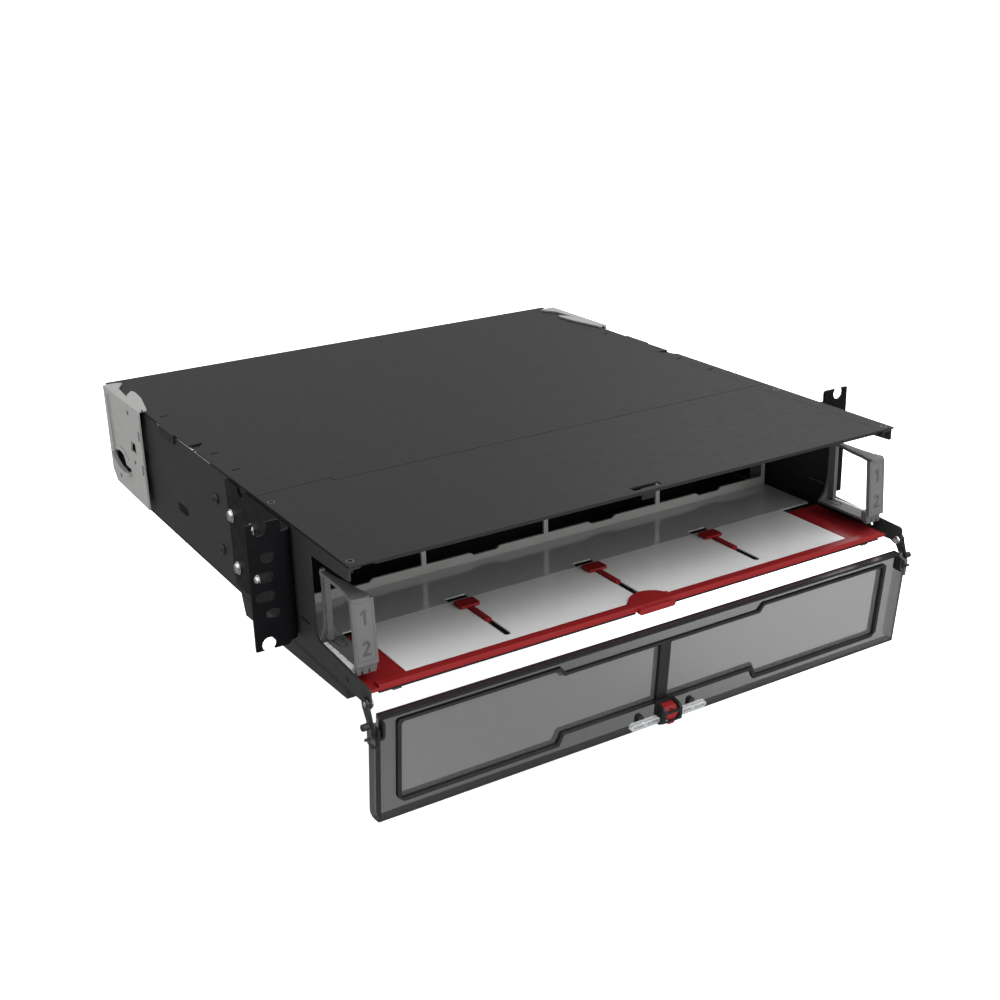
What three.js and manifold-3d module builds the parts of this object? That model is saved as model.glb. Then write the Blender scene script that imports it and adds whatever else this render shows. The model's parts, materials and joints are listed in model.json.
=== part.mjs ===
// Rack-mount fibre termination enclosure, two rack units high, 19-inch wide.
// All sizes are in millimetres. X runs to the right seen from the front, Z is up.
// Depths below are measured rearward from the front edge of the top cover; the
// whole part is then moved so that Y = 0 is the plane of the rack posts.
import * as THREE from 'three';
import { mergeVertices } from 'three/addons/utils/BufferGeometryUtils.js';
import Module from 'manifold-3d';

const wasm = await Module();
wasm.setup();

// ---- driving dimensions -------------------------------------------------

const HALF_WIDTH = 211;
const REAR_Y = 451;
const RACK_POST_Y = 79.2;
const GAP = 0.3;

const COVER_TOP_Z = 80.4;
const COVER_BOTTOM_Z = 79.2;
const SEAM_Y = 133.4;
const SEAM_GAP = 0.6;

const WALL_INNER_X = 209.6;
const WALL_TOP_Z = 78.6;
const WALL_BOTTOM_Z = -2.4;
const FLANGE_INNER_X = 203;
const FLANGE_THICKNESS = 1.4;

const FLOOR_TOP_Z = -2.8;
const FLOOR_BOTTOM_Z = -4.0;
const FLOOR_FRONT_Y = 8;

const EAR_OUTER_X = 241.3;
const EAR_THICKNESS = 2;
const EAR_SIDE_INNER_X = 211.4;
const EAR_SIDE_OUTER_X = 213.2;
const EAR_BOTTOM_Z = 2.9;
const EAR_TOP_Z = 86;
const EAR_BEND_R = 7;
const RACK_HOLE_X = 232.56;

const SCREW_HOLE_R = 2.35;
const SCREW_SHANK_R = 1.95;

const HINGE_Y = -12;
const HINGE_Z = -0.5;
const HINGE_HOLE_R = 2.2;
const HINGE_PIN_R = 1.8;
const DOOR_LEAN = THREE.MathUtils.degToRad(6);

const TRAY_TOP_Z = 2.7;
const TRAY_BOTTOM_Z = 1.5;
const PANEL_HALF_X = 176.6;
const FRAME_HALF_X = 205.5;
const LIP_HALF_X = 199.5;
const TRAY_REAR_Y = 72.5;
const LATCH_XS = [-101, 0, 101];

const RAIL_Y = 122.5;
const BAR_XS = [-100, -0.7, 99];

const MANAGER_INNER_X = 195.2;
const MANAGER_OUTER_X = 209.2;

// ---- materials ----------------------------------------------------------

function finish(name, color, roughness, metalness, opacity = 1) {
  return new THREE.MeshStandardMaterial({
    name,
    color,
    roughness,
    metalness,
    opacity,
    transparent: opacity < 1,
  });
}

const COVER_PAINT = ['cover_paint', 0x444645, 0.55, 0.2];
const CHASSIS_PAINT = ['chassis_paint', 0x3a3c3b, 0.55, 0.2];
const EAR_PAINT = ['ear_paint', 0x111214, 0.5, 0.2];
const GREY_PAINT = ['bracket_paint', 0x969794, 0.5, 0.2];
const FLOOR_PAINT = ['floor_paint', 0xd8d9d8, 0.25, 0.1];
const FRAME_PAINT = ['frame_paint', 0xa8a9a6, 0.4, 0.1];
const STEEL = ['steel', 0xb9bab8, 0.35, 1];
const BLACK_STEEL = ['black_steel', 0x1a1a1b, 0.4, 0.6];
const GREY_PLASTIC = ['grey_plastic', 0x808180, 0.5, 0];
const WHITE_PLASTIC = ['white_plastic', 0xe6e7e6, 0.35, 0];
const RED_PLASTIC = ['red_plastic', 0x8c1e20, 0.4, 0];
const BLACK_PLASTIC = ['black_plastic', 0x1b1b1c, 0.5, 0];
const SMOKED = ['smoked_plastic', 0x3a3c3e, 0.15, 0, 0.7];
const PANE = ['smoked_window', 0x8c8f90, 0.1, 0, 0.5];
const CLEAR = ['clear_plastic', 0xe4e8ea, 0.1, 0, 0.5];

// ---- shape helpers ------------------------------------------------------

const part = new THREE.Group();
part.name = 'fiber_termination_box';
part.position.y = -RACK_POST_Y;

const door = new THREE.Group();
door.position.set(0, HINGE_Y, HINGE_Z);
door.rotation.x = DOOR_LEAN;
part.add(door);

function add(name, geometry, paint, parent = part) {
  const mesh = new THREE.Mesh(geometry, finish(...paint));
  mesh.name = name;
  parent.add(mesh);
}

function polygon(points) {
  return new THREE.Shape(points.map(([u, v]) => new THREE.Vector2(u, v)));
}

function rectangle(u0, u1, v0, v1) {
  return polygon([[u0, v0], [u1, v0], [u1, v1], [u0, v1]]);
}

// A rectangle whose corners are rounded by the given radii, counter-clockwise
// from the low-u, low-v corner.
function roundedRectangle(u0, u1, v0, v1, radii) {
  const [r0, r1, r2, r3] = radii;
  const shape = new THREE.Shape();
  shape.moveTo(u0 + r0, v0);
  shape.lineTo(u1 - r1, v0);
  if (r1 > 0) shape.absarc(u1 - r1, v0 + r1, r1, -Math.PI / 2, 0);
  shape.lineTo(u1, v1 - r2);
  if (r2 > 0) shape.absarc(u1 - r2, v1 - r2, r2, 0, Math.PI / 2);
  shape.lineTo(u0 + r3, v1);
  if (r3 > 0) shape.absarc(u0 + r3, v1 - r3, r3, Math.PI / 2, Math.PI);
  shape.lineTo(u0, v0 + r0);
  if (r0 > 0) shape.absarc(u0 + r0, v0 + r0, r0, Math.PI, 1.5 * Math.PI);
  return shape;
}

function roundHole(u, v, radius) {
  const hole = new THREE.Shape();
  hole.absarc(u, v, radius, 0, 2 * Math.PI);
  return hole;
}

function slotHole(u, v, length, height) {
  const r = height / 2;
  return roundedRectangle(u - length / 2, u + length / 2, v - r, v + r, [r, r, r, r]);
}

function cut(shape, holes) {
  shape.holes.push(...holes);
  return shape;
}

function extrude(shape, depth, curveSegments) {
  return new THREE.ExtrudeGeometry(shape, { depth, bevelEnabled: false, curveSegments });
}

// A flat plate in X and Y, from z0 up to z1.
function plateXY(shape, z0, z1, segments = 5) {
  return extrude(shape, z1 - z0, segments).translate(0, 0, z0);
}

// A flat plate in Y and Z, from x0 to x1.
function plateYZ(shape, x0, x1, segments = 5) {
  const low = Math.min(x0, x1);
  const geometry = extrude(shape, Math.abs(x1 - x0), segments);
  const turn = new THREE.Matrix4().makeBasis(
    new THREE.Vector3(0, 1, 0),
    new THREE.Vector3(0, 0, 1),
    new THREE.Vector3(1, 0, 0),
  );
  return geometry.applyMatrix4(turn).translate(low, 0, 0);
}

// A flat plate in X and Z, from y0 back to y1.
function plateXZ(shape, y0, y1, segments = 5) {
  return extrude(shape, y1 - y0, segments).rotateX(Math.PI / 2).translate(0, y1, 0);
}

function box(x0, x1, y0, y1, z0, z1) {
  const width = Math.abs(x1 - x0);
  const geometry = new THREE.BoxGeometry(width, y1 - y0, z1 - z0);
  return geometry.translate((x0 + x1) / 2, (y0 + y1) / 2, (z0 + z1) / 2);
}

// A turned piece whose axis lies along X, its profile given as [radius, x].
function turnedAlongX(profile, y, z, segments = 14) {
  const points = profile.map(([r, x]) => new THREE.Vector2(r, x));
  return new THREE.LatheGeometry(points, segments).rotateZ(-Math.PI / 2).translate(0, y, z);
}

function toManifold(geometry) {
  const bare = geometry.clone();
  bare.deleteAttribute('normal');
  bare.deleteAttribute('uv');
  const merged = mergeVertices(bare, 1e-5);
  return new wasm.Manifold(new wasm.Mesh({
    numProp: 3,
    vertProperties: new Float32Array(merged.attributes.position.array),
    triVerts: new Uint32Array(merged.index.array),
  }));
}

function fromManifold(solid) {
  const mesh = solid.getMesh();
  const geometry = new THREE.BufferGeometry();
  geometry.setAttribute('position', new THREE.BufferAttribute(mesh.vertProperties, 3));
  geometry.setIndex(new THREE.BufferAttribute(mesh.triVerts, 1));
  geometry.computeVertexNormals();
  return geometry;
}

// Joins the first list of bodies into one and cuts the second list out of it.
function combine(joined, removed = []) {
  let solid = toManifold(joined[0]);
  for (const geometry of joined.slice(1)) solid = solid.add(toManifold(geometry));
  for (const geometry of removed) solid = solid.subtract(toManifold(geometry));
  return fromManifold(solid);
}

// ---- chassis: side walls, floor, lower pan, covers, rear panel ------------

const EAR_SCREWS = [[177, 54.2], [141.8, 55.4], [173.5, 17.6], [138.2, 20.8]];
const SIDE_SCREWS = [[209, 55.5], [205.5, 19.5]];
const COVER_SCREWS = [[-206.8, 120.2], [-206.8, 7.5], [206.8, 117], [206.8, 6]];

function wallOutline() {
  const wall = new THREE.Shape();
  wall.moveTo(-6, WALL_BOTTOM_Z);
  wall.lineTo(REAR_Y, WALL_BOTTOM_Z);
  wall.lineTo(REAR_Y, WALL_TOP_Z);
  wall.lineTo(1.8, WALL_TOP_Z);
  wall.lineTo(1.8, 71.4);
  wall.absarc(2.8, 71.4, 1, Math.PI, 1.5 * Math.PI);
  wall.lineTo(56, 68.5);
  wall.lineTo(56, 18.6);
  wall.absarc(50, 18.6, 6, 0, -Math.PI / 2, true);
  wall.lineTo(-12.5, 9.5);
  wall.absarc(-12.5, 6.5, 3, Math.PI / 2, Math.PI);
  wall.lineTo(-15.5, -1.8);
  wall.lineTo(-13.4, -4);
  wall.lineTo(-9, -4);
  return wall;
}

function sideWall(side) {
  const holes = [
    slotHole(285, 23.5, 22, 7),
    slotHole(71, 19.5, 16, 1.4),
    roundHole(HINGE_Y, HINGE_Z, HINGE_HOLE_R),
    roundHole(13.5, 3.7, 1.8),
  ];
  for (const [y, z] of [...EAR_SCREWS, ...SIDE_SCREWS]) {
    holes.push(roundHole(y, z, SCREW_HOLE_R));
  }
  const plate = plateYZ(cut(wallOutline(), holes), side * WALL_INNER_X, side * HALF_WIDTH, 3);
  const flangeHoles = COVER_SCREWS
    .filter(([x]) => Math.sign(x) === side)
    .map(([x, y]) => roundHole(x, y, 1.9));
  const inner = Math.min(side * FLANGE_INNER_X, side * (WALL_INNER_X + 0.7));
  const outer = Math.max(side * FLANGE_INNER_X, side * (WALL_INNER_X + 0.7));
  const flange = plateXY(
    cut(rectangle(inner, outer, 1.8, REAR_Y), flangeHoles),
    WALL_TOP_Z - FLANGE_THICKNESS,
    WALL_TOP_Z,
    3,
  );
  return combine([plate, flange]);
}

add('side_wall_left', sideWall(-1), CHASSIS_PAINT);
add('side_wall_right', sideWall(1), CHASSIS_PAINT);

add(
  'floor_pan',
  box(-HALF_WIDTH, HALF_WIDTH, FLOOR_FRONT_Y, REAR_Y, FLOOR_BOTTOM_Z, FLOOR_TOP_Z),
  CHASSIS_PAINT,
);

// The shallow wedge below the front of the floor, deeper toward the rear.
function underPan() {
  const top = FLOOR_BOTTOM_Z - GAP;
  const outside = polygon([
    [16, top],
    [16, -10.4],
    [110, -15],
    [175, -18.8],
    [180, top],
  ]);
  const inside = polygon([
    [17.4, top + 1],
    [17.4, -9.1],
    [110, -13.6],
    [173.8, -17.3],
    [178.2, top + 1],
  ]);
  return combine(
    [plateYZ(outside, -HALF_WIDTH, HALF_WIDTH)],
    [plateYZ(inside, -HALF_WIDTH + 1.4, HALF_WIDTH - 1.4)],
  );
}

add('under_pan', underPan(), CHASSIS_PAINT);

function frontCover() {
  const outline = polygon([
    [-HALF_WIDTH, 0],
    [HALF_WIDTH, 0],
    [HALF_WIDTH, 131.8],
    [205, SEAM_Y],
    [-157, SEAM_Y],
    [-158.5, 138.8],
    [-HALF_WIDTH, 135.2],
  ]);
  const holes = COVER_SCREWS.map(([x, y]) => roundHole(x, y, 3.4));
  holes.push(rectangle(-11, 11, 4, 9.5));
  const sheet = plateXY(cut(outline, holes), COVER_BOTTOM_Z, COVER_TOP_Z, 4);
  const hem = box(-195, 195, 0, 1.2, COVER_BOTTOM_Z - 1, COVER_BOTTOM_Z + 0.5);
  const catchTab = box(-5, 5, 3.8, 5, 72.8, COVER_TOP_Z);
  return combine([sheet, hem, catchTab]);
}

add('front_cover', frontCover(), COVER_PAINT);

function rearCover() {
  const outline = polygon([
    [-HALF_WIDTH, 135.2 + SEAM_GAP],
    [-158, 138.8 + SEAM_GAP],
    [-156.4, SEAM_Y + SEAM_GAP],
    [205, SEAM_Y + SEAM_GAP],
    [HALF_WIDTH, 131.8 + SEAM_GAP],
    [HALF_WIDTH, 243],
    [200, 257.9],
    [HALF_WIDTH, 257.4],
    [HALF_WIDTH, REAR_Y],
    [-HALF_WIDTH, REAR_Y],
    [-HALF_WIDTH, 257.4],
    [-200, 257.9],
    [-HALF_WIDTH, 243],
  ]);
  const holes = [];
  for (const side of [-1, 1]) {
    for (const y of [190.3, 230.7, 334.8]) {
      holes.push(slotHole(side * 202.4, y, 6, 1.8));
    }
  }
  const bodies = [plateXY(cut(outline, holes), COVER_BOTTOM_Z, COVER_TOP_Z, 2)];
  for (const side of [-1, 1]) {
    bodies.push(box(side * 210.5, side * 212.6, 286, 316, COVER_BOTTOM_Z, COVER_TOP_Z));
    bodies.push(box(side * 211.3, side * 212.6, 286, 316, 73.4, COVER_BOTTOM_Z + 0.6));
  }
  return combine(bodies);
}

add('rear_cover', rearCover(), COVER_PAINT);

// The back of the enclosure with one cable entry near each corner.
const cableEntries = [[-190, -120], [120, 190]].map(([left, right]) => (
  plateXZ(roundedRectangle(left, right, 16, 56, [6, 6, 6, 6]), REAR_Y - 4, REAR_Y + 2, 4)
));
const underFlange = WALL_TOP_Z - FLANGE_THICKNESS - GAP;
const rearSheet = box(-209.2, 209.2, REAR_Y - 1.6, REAR_Y - 0.2, FLOOR_TOP_Z + GAP, underFlange);
add('rear_panel', combine([rearSheet], cableEntries), CHASSIS_PAINT);

// ---- rack ears and their screws -------------------------------------------

function rackEar(side) {
  const bendX = -EAR_SIDE_INNER_X - EAR_BEND_R;
  const bendY = RACK_POST_Y - EAR_THICKNESS + EAR_BEND_R;
  const frontPlate = new THREE.Shape();
  frontPlate.moveTo(-EAR_OUTER_X, EAR_BOTTOM_Z);
  frontPlate.lineTo(-221, EAR_BOTTOM_Z);
  frontPlate.absarc(-221, EAR_BOTTOM_Z + 3, 3, -Math.PI / 2, -0.3, false);
  frontPlate.lineTo(bendX, EAR_BOTTOM_Z + 2.4);
  frontPlate.lineTo(bendX, 78);
  frontPlate.lineTo(-219, 78);
  frontPlate.lineTo(-219, EAR_TOP_Z - 2);
  frontPlate.absarc(-221, EAR_TOP_Z - 2, 2, 0, Math.PI / 2);
  frontPlate.lineTo(-EAR_OUTER_X, EAR_TOP_Z);
  cut(frontPlate, [
    slotHole(-RACK_HOLE_X, 50.8, 12.5, 7),
    slotHole(-RACK_HOLE_X, 38.1, 12.5, 7),
    slotHole(-229.3, 63.4, 9, 6.8),
    slotHole(-228.5, 26.2, 9, 6.8),
  ]);
  // Wide bend that carries the front plate round into the side plate.
  const bend = new THREE.Shape();
  bend.moveTo(bendX - 0.4, RACK_POST_Y);
  bend.lineTo(bendX - 0.4, RACK_POST_Y - EAR_THICKNESS);
  bend.absarc(bendX, bendY, EAR_BEND_R, -Math.PI / 2, 0);
  bend.lineTo(-EAR_SIDE_INNER_X, bendY + 1);
  bend.lineTo(-EAR_SIDE_OUTER_X, bendY + 1);
  bend.absarc(bendX, bendY, EAR_BEND_R - 1.8, 0, -Math.PI / 2, true);
  const notches = [82.55, 6.35].map((z) => roundHole(-RACK_HOLE_X, z, 4.9));
  const front = combine(
    [
      plateXZ(frontPlate, RACK_POST_Y - EAR_THICKNESS, RACK_POST_Y),
      plateXY(bend, EAR_BOTTOM_Z + 2.4, 78, 6),
    ],
    notches.map((shape) => plateXZ(shape, 70, 86, 7)),
  );
  if (side > 0) {
    front.scale(-1, 1, 1);
    front.setIndex(Array.from(front.index.array).reverse());
  }
  const sidePlate = new THREE.Shape();
  sidePlate.moveTo(bendY, EAR_BOTTOM_Z + 2.4);
  sidePlate.lineTo(181, 2.4);
  sidePlate.lineTo(184, 78);
  sidePlate.lineTo(163, 78);
  sidePlate.absarc(158, 78, 5, 0, -Math.PI, true);
  sidePlate.lineTo(bendY, 78);
  cut(sidePlate, EAR_SCREWS.map(([y, z]) => roundHole(y, z, SCREW_HOLE_R)));
  return combine([front, plateYZ(sidePlate, side * EAR_SIDE_INNER_X, side * EAR_SIDE_OUTER_X)]);
}

add('rack_ear_left', rackEar(-1), EAR_PAINT);
add('rack_ear_right', rackEar(1), EAR_PAINT);

// A pan-head screw along X, its head outward and resting on a plate at seatX.
function panScrew(side, seatX, y, z, washerR, length) {
  const profile = [
    [0, seatX - length],
    [SCREW_SHANK_R, seatX - length],
    [SCREW_SHANK_R, seatX + 0.05],
  ];
  let headBase = seatX + 0.05;
  if (washerR > 0) {
    profile.push([washerR, headBase], [washerR, headBase + 0.8]);
    headBase += 0.8;
  }
  profile.push([3.5, headBase], [3.3, headBase + 1.5], [2.2, headBase + 2.2], [0, headBase + 2.3]);
  const geometry = turnedAlongX(profile, y, z, 12);
  if (side < 0) geometry.rotateZ(Math.PI).translate(0, 2 * y, 0);
  return geometry;
}

for (const [side, sideName] of [[-1, 'left'], [1, 'right']]) {
  EAR_SCREWS.forEach(([y, z], index) => {
    add(`ear_screw_${sideName}_${index + 1}`, panScrew(side, EAR_SIDE_OUTER_X, y, z, 4.7, 9), STEEL);
  });
  SIDE_SCREWS.forEach(([y, z], index) => {
    add(`side_screw_${sideName}_${index + 1}`, panScrew(side, HALF_WIDTH, y, z, 0, 7), BLACK_STEEL);
  });
}

// Countersunk screws holding the front cover to the wall flanges.
COVER_SCREWS.forEach(([x, y], index) => {
  const profile = [[0, 73], [1.5, 73], [1.5, 78.8], [3, 79.6], [3, 80.5], [0, 80.5]];
  const points = profile.map(([r, z]) => new THREE.Vector2(r, z));
  const screw = new THREE.LatheGeometry(points, 12).rotateX(Math.PI / 2).translate(x, y, 0);
  add(`cover_screw_${index + 1}`, screw, BLACK_STEEL);
});

// ---- module frame, shelf and rear brackets ----------------------------------

function moduleFrame() {
  const edges = [-200.5, ...BAR_XS.flatMap((x) => [x - 1.9, x + 1.9]), 200.5];
  const middles = [-150, -50.4, 49.2, 148.8];
  const bays = middles.map((middle, bay) => {
    const left = edges[2 * bay];
    const right = edges[2 * bay + 1];
    return polygon([
      [left, 9.3],
      [middle - 13, 9.3],
      [middle - 10, 7.1],
      [middle + 8, 7.1],
      [middle + 11, 9.3],
      [right, 9.3],
      [right, 72.5],
      [left, 72.5],
    ]);
  });
  const bodies = [
    combine(
      [box(-204, 204, RAIL_Y, RAIL_Y + 2, FLOOR_TOP_Z + GAP, underFlange)],
      bays.map((bay) => plateXZ(bay, RAIL_Y - 1, RAIL_Y + 3)),
    ),
  ];
  for (const side of [-1, 1]) {
    bodies.push(box(side * 202.6, side * 204, RAIL_Y, RAIL_Y + 16, FLOOR_TOP_Z + GAP, 73));
  }
  return combine(bodies);
}

add('module_frame', moduleFrame(), FRAME_PAINT);

// The light shelf behind the tray, with three catch openings for the latches.
function shelfFloor() {
  const rear = RAIL_Y - GAP;
  const front = TRAY_REAR_Y + 0.4;
  const catches = LATCH_XS.map((x) => box(x - 7.6, x + 7.6, front + 1.6, front + 6.6, 0, 5));
  return combine([box(-204, 204, front, rear, TRAY_BOTTOM_Z, TRAY_TOP_Z)], catches);
}

add('shelf_floor', shelfFloor(), FLOOR_PAINT);

// Grey tie-down bracket standing off each rear corner of the side wall. Its face
// is pressed in along a curve, and a trough below the rear slit holds a strap.
const BRACKET_FRONT_Y = 352.8;
const BRACKET_FACE_X = [215, 216.4];

function bracketFace(side) {
  const [inner, outer] = BRACKET_FACE_X;
  const face = polygon([
    [BRACKET_FRONT_Y, 2],
    [431, 3.5],
    [434.5, 6.5],
    [440, 12],
    [440, 80.8],
    [BRACKET_FRONT_Y, 80.8],
  ]);
  const openings = [
    polygon([[426.4, 29], [429.6, 29], [433.2, 77.5], [430, 77.5]]),
    polygon([[430, 31], [413, 34.4], [404.5, 32.8], [399.8, 25.7], [388, 25.4], [389, 21.6],
      [400, 18.8], [414, 20], [425, 24], [430, 28]]),
    polygon([[370, 51.3], [380, 51.3], [381.5, 43.4], [368.5, 43.4]]),
    rectangle(355, 359.5, 57, 64.5),
    rectangle(354.5, 359, 29.4, 37.4),
    slotHole(379.6, 74, 5, 3.6),
    slotHole(375, 35, 5, 3.6),
    slotHole(419.3, 11.4, 5, 3.6),
    roundHole(434.5, 78.8, 0.9),
  ];
  const pressed = polygon([
    [425, 34],
    [413, 38],
    [402, 37],
    [392, 31],
    [382, 40],
    [384, 52],
    [387, 62],
    [387, 70],
    [393, 75],
    [405, 77.6],
    [428, 78.6],
  ]);
  const sunkFrom = side * (outer - 0.5);
  return combine(
    [plateYZ(face, side * inner, side * outer)],
    [
      ...openings.map((shape) => plateYZ(shape, side * (inner - 1), side * (outer + 1), 3)),
      plateYZ(pressed, sunkFrom, side * (outer + 1)),
    ],
  );
}

function rearBracket(side) {
  const [inner, outer] = BRACKET_FACE_X;
  const top = polygon([
    [side * (inner - 0.1), BRACKET_FRONT_Y],
    [side * (inner - 0.1), 440],
    [side * 206, 440],
    [side * 201.4, 437],
    [side * 208.7, 423.3],
    [side * 210.6, 396.3],
    [side * 208.6, 402],
    [side * 202.5, 410.1],
    [side * 201.2, 405],
    [side * 202.4, 386.2],
    [side * 208.9, 353.4],
    [side * 211.8, BRACKET_FRONT_Y],
    [side * 212.2, 356.5],
    [side * 213.4, BRACKET_FRONT_Y],
  ]);
  const roof = COVER_TOP_Z + GAP;
  const trough = polygon([
    [430.4, 29],
    [425, 25],
    [414, 21],
    [400, 19.8],
    [389, 22.4],
    [388, 19.4],
    [400, 16.4],
    [414, 17.6],
    [427, 22],
    [433, 27],
  ]);
  return combine([
    bracketFace(side),
    plateXY(top, roof, roof + 1.3),
    box(side * (inner - 0.3), side * outer, BRACKET_FRONT_Y, 440, 80.4, roof + 1.3),
    box(side * 211.3, side * outer, 438.8, 440, 12, 81.5),
    plateYZ(trough, side * (inner + 0.2), side * (outer + 2.2)),
  ]);
}

add('rear_bracket_left', rearBracket(-1), GREY_PAINT);
add('rear_bracket_right', rearBracket(1), GREY_PAINT);

// ---- cable managers behind the side windows ----------------------------------

function cableManager(side) {
  const at = (x) => side * x;
  const mirrored = (points) => polygon(points.map(([x, v]) => [at(x), v]));
  // The face leans back a little, its foot nearest the front.
  const face = polygon([[2.4, 15.4], [5.8, 15.4], [8.2, 56], [4.8, 56]]);
  const arm = mirrored([
    [206.6, 53.4],
    [206.6, 25],
    [207.6, 14],
    [MANAGER_OUTER_X, 8],
    [208.9, 5.4],
    [207, 4.2],
    [202, 3.7],
    [199, 4],
    [197.2, 5.4],
    [196.6, 7.4],
    [197, 10],
    [198.4, 16],
    [199.6, 27],
    [202.9, 44],
    [202.9, 53.4],
  ]);
  const web = mirrored([
    [MANAGER_OUTER_X, 10.9],
    [MANAGER_INNER_X - 0.6, 10.9],
    [MANAGER_INNER_X - 0.6, 12.9],
    [197, 14.6],
    [199.2, 17.6],
    [200.8, 21.8],
    [202, 27],
    [202.9, 34],
    [202.9, 56],
    [206.2, 56],
    [206, 27],
    [206.6, 21],
    [207.6, 17],
    [MANAGER_OUTER_X, 14],
  ]);
  const tongue = mirrored([
    [203, 48],
    [203.7, 48],
    [203.7, 39],
    [202.4, 36.6],
    [199.8, 36.2],
    [198, 38],
    [197.6, 48],
    [198.3, 48],
    [198.6, 38.6],
    [200, 37],
    [202, 37.4],
    [203, 39.4],
  ]);
  const baseOutline = mirrored([
    [206, 7],
    [206, 53.4],
    [MANAGER_INNER_X - 0.6, 53.4],
    [MANAGER_INNER_X - 0.6, 7],
  ]);
  const bodies = [
    plateYZ(face, at(MANAGER_INNER_X), at(MANAGER_OUTER_X)),
    plateXY(arm, 55.2, 57.6),
    plateXZ(web, 51.4, 53.4),
    box(at(202.9), at(206.1), 46.6, 52, 14, 55.6),
    plateXY(baseOutline, 11, 12.8),
    box(at(MANAGER_INNER_X), at(206), 5.2, 10, 11, 18),
  ];
  for (const [near, far] of [[195.9, 200], [201, 204.6], [205.8, 208.6]]) {
    bodies.push(box(at(near), at(far), 5, 8, 9, 16.4));
  }
  const knob = new THREE.CylinderGeometry(1.6, 1.6, 5, 12).rotateX(Math.PI / 2);
  bodies.push(knob.translate(at(204.8), 52.6, 56.6));
  return combine(bodies, [
    plateXY(tongue, 10, 14),
    box(at(205.2), at(207), 48, 50.6, 17, 54.4),
  ]);
}

add('cable_manager_left', cableManager(-1), GREY_PLASTIC);
add('cable_manager_right', cableManager(1), GREY_PLASTIC);

// The light strip that each manager clips over, notched along its top.
for (const [side, sideName] of [[-1, 'left'], [1, 'right']]) {
  const notches = [20, 31, 40, 46].map((y) => (
    box(side * 206, side * 208, y, y + 1.1, 11.4, 13)
  ));
  const strip = combine([
    box(side * 206.3, side * 209.3, 10.4, 49.6, 7.6, 12.2),
    box(side * 203.6, side * 209.3, 12, 49.6, 7.6, 8.8),
  ], notches);
  add(`manager_rail_${sideName}`, strip, WHITE_PLASTIC);
}

// ---- tray -------------------------------------------------------------------

function trayPanel() {
  const sheet = box(-PANEL_HALF_X, PANEL_HALF_X, 5.5, TRAY_REAR_Y, TRAY_BOTTOM_Z, TRAY_TOP_Z);
  const slots = LATCH_XS.map((x) => {
    const slot = roundedRectangle(x - 2.5, x + 2.5, 12, 61, [2.5, 2.5, 2.5, 2.5]);
    return plateXY(slot, 0, 5, 3);
  });
  return combine([sheet], slots);
}

add('tray_panel', trayPanel(), WHITE_PLASTIC);

// Red U-shaped border with its raised lip, finger pad and pull bar.
function trayFrame() {
  const inner = PANEL_HALF_X + GAP;
  const band = polygon([
    [-FRAME_HALF_X, -4.5],
    [FRAME_HALF_X, -4.5],
    [FRAME_HALF_X, 66],
    [inner, 66],
    [inner, 5.2],
    [142, 5.2],
    [-142, 5.2],
    [-inner, 5.2],
    [-inner, 66],
    [-FRAME_HALF_X, 66],
  ]);
  const lip = polygon([[-4.5, 0.6], [2.6, 0.6], [2.6, 2.7], [0.6, 4.5], [-4.5, 4.5]]);
  const pad = new THREE.Shape();
  pad.moveTo(-16, -4);
  pad.lineTo(16, -4);
  pad.absarc(0, -2.4, 16, 0, Math.PI);
  return combine([
    plateXY(band, 0.6, TRAY_TOP_Z),
    plateYZ(lip, -LIP_HALF_X, LIP_HALF_X),
    plateXY(pad, 3, 4.4, 10),
    box(-16, 16, -4, 4.6, 2, 4.4),
    plateXZ(roundedRectangle(-14.5, 14.5, -1, 3, [1.9, 1.9, 1.9, 1.9]), -7.6, -4.2, 3),
  ]);
}

add('tray_frame', trayFrame(), RED_PLASTIC);

add(
  'tray_base',
  combine([
    box(-199.5, 199.5, -2.4, 72.2, -0.9, 0.3),
    box(-199.5, 199.5, -4.1, -2, -0.9, -0.1),
  ], [box(-15, 15, -6, -2.2, -3, 2)]),
  BLACK_PLASTIC,
);

for (const [side, sideName] of [[-1, 'left'], [1, 'right']]) {
  const runner = box(side * 184, side * 190, -3, 118, -2.5, -1.2);
  add(`tray_runner_${sideName}`, runner, GREY_PLASTIC);
}

// T-shaped slide latches riding in the three slots of the tray panel.
LATCH_XS.forEach((x, index) => {
  const geometry = combine([
    plateXY(roundedRectangle(x - 7.5, x + 7.5, 58.5, 69, [1.5, 1.5, 1.5, 1.5]), 3, 5, 3),
    box(x - 2, x + 2, 36, 59.4, 0.8, 4),
    box(x - 4.4, x + 4.4, 38, 58, 0.6, 1.2),
  ]);
  add(`tray_latch_${['left', 'centre', 'right'][index]}`, geometry, RED_PLASTIC);
});

// ---- hinge pins ---------------------------------------------------------------

for (const [side, sideName] of [[-1, 'left'], [1, 'right']]) {
  const profile = [
    [0, 207.8],
    [2.6, 208.2],
    [3.2, 209.3],
    [HINGE_PIN_R, 209.3],
    [HINGE_PIN_R, 213.2],
    [0, 213.2],
  ];
  const pin = turnedAlongX(profile, HINGE_Y, HINGE_Z, 14);
  if (side < 0) pin.rotateZ(Math.PI).translate(0, 2 * HINGE_Y, 0);
  add(`hinge_pin_${sideName}`, pin, STEEL);
}

// ---- door, drawn hanging straight down from its hinge axis ----------------------
// Y is 0 at the hinge and negative toward the inner side; Z is negative downward.

const DOOR_OUTER_Y = -1.8;
const DOOR_SKIN_Y = -3.8;
const DOOR_RIM_Y = -10.6;
const DOOR_NEAR_Z = -6.9;
const DOOR_FAR_Z = -78.3;
const DOOR_BODY_X = 206.7;
const DOOR_WALL_X = 211.7;
const STRAP_INNER_X = 211.3;
const STRAP_OUTER_X = 213;

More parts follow.
